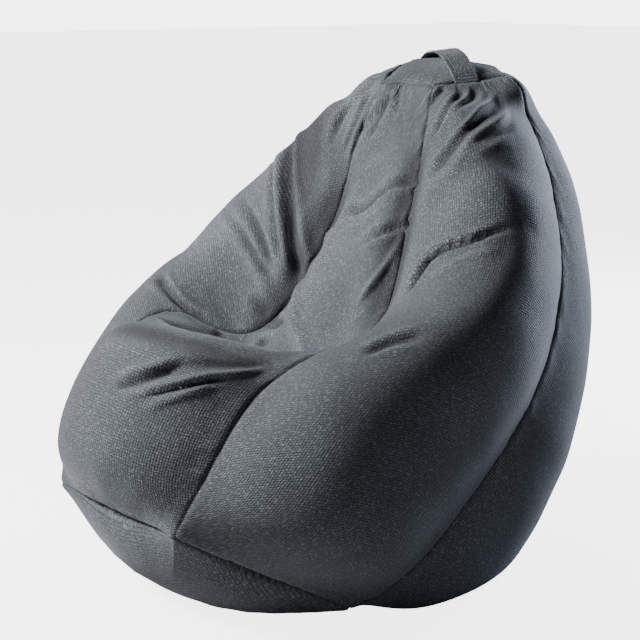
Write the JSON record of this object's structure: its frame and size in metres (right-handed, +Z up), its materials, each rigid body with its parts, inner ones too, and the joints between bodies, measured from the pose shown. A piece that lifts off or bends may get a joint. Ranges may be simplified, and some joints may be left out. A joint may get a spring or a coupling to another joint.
{
  "type": "bean bag chair",
  "caption": "Soft teardrop bag chair with a pressed-in seat, gored fabric cover, capped top with a carry strap, rear zip and a loose bead filling.",
  "frame": {"origin": "on the floor in the bag's middle plane, on the flat patch that the bag rests on", "axes": "+Z up, the seat faces -Y and the back is at +Y, +X to the viewer's right when looking along +Y"},
  "size_m": [0.8968, 1.0492, 0.9523],
  "materials": {
    "cover": "heathered basket weave, soft sheen",
    "strap": "folded strap of the cover cloth, edge stitched",
    "zip_tape": "woven tape",
    "zip_teeth": "nylon coil",
    "zip_metal": "satin",
    "liner": "plain non-woven",
    "beads": "expanded polystyrene"
  },
  "bodies": {
    "bag": {"front_panel": "cover", "right_side_panel": "cover", "rear_right_panel": "cover", "rear_left_panel": "cover", "left_side_panel": "cover", "top_cap": "cover", "base_panel": "cover", "handle_end_front": "strap", "handle_end_rear": "strap", "zip_tape_left": "zip_tape", "zip_tape_right": "zip_tape", "zip_teeth_left": "zip_teeth", "zip_teeth_right": "zip_teeth", "zip_top_stops": "zip_metal", "zip_bottom_stop": "zip_metal", "liner_left": "liner", "liner_right": "liner", "bead_filling": "beads"},
    "strap": {"carry_handle": "strap"},
    "slider": {"zip_slider": "zip_metal"},
    "puller": {"zip_puller": "zip_metal"}
  },
  "joints": [
    {"name": "strap_swing", "type": "hinge", "parent": "bag", "child": "strap", "pos_m": [0, 0.28454, 0.93009], "axis": [0.9272, -0.3726, -0.0392], "range_deg": [-18, 18]},
    {"name": "zip_travel", "type": "hinge", "parent": "bag", "child": "slider", "pos_m": [0, -0.335, 0.57], "axis": [-1, 0, 0], "range_deg": [0, 30.88]},
    {"name": "puller_swing", "type": "hinge", "parent": "slider", "child": "puller", "pos_m": [0, 0.48923, 0.66684], "axis": [1, 0, 0], "range_deg": [0, 150]}
  ]
}
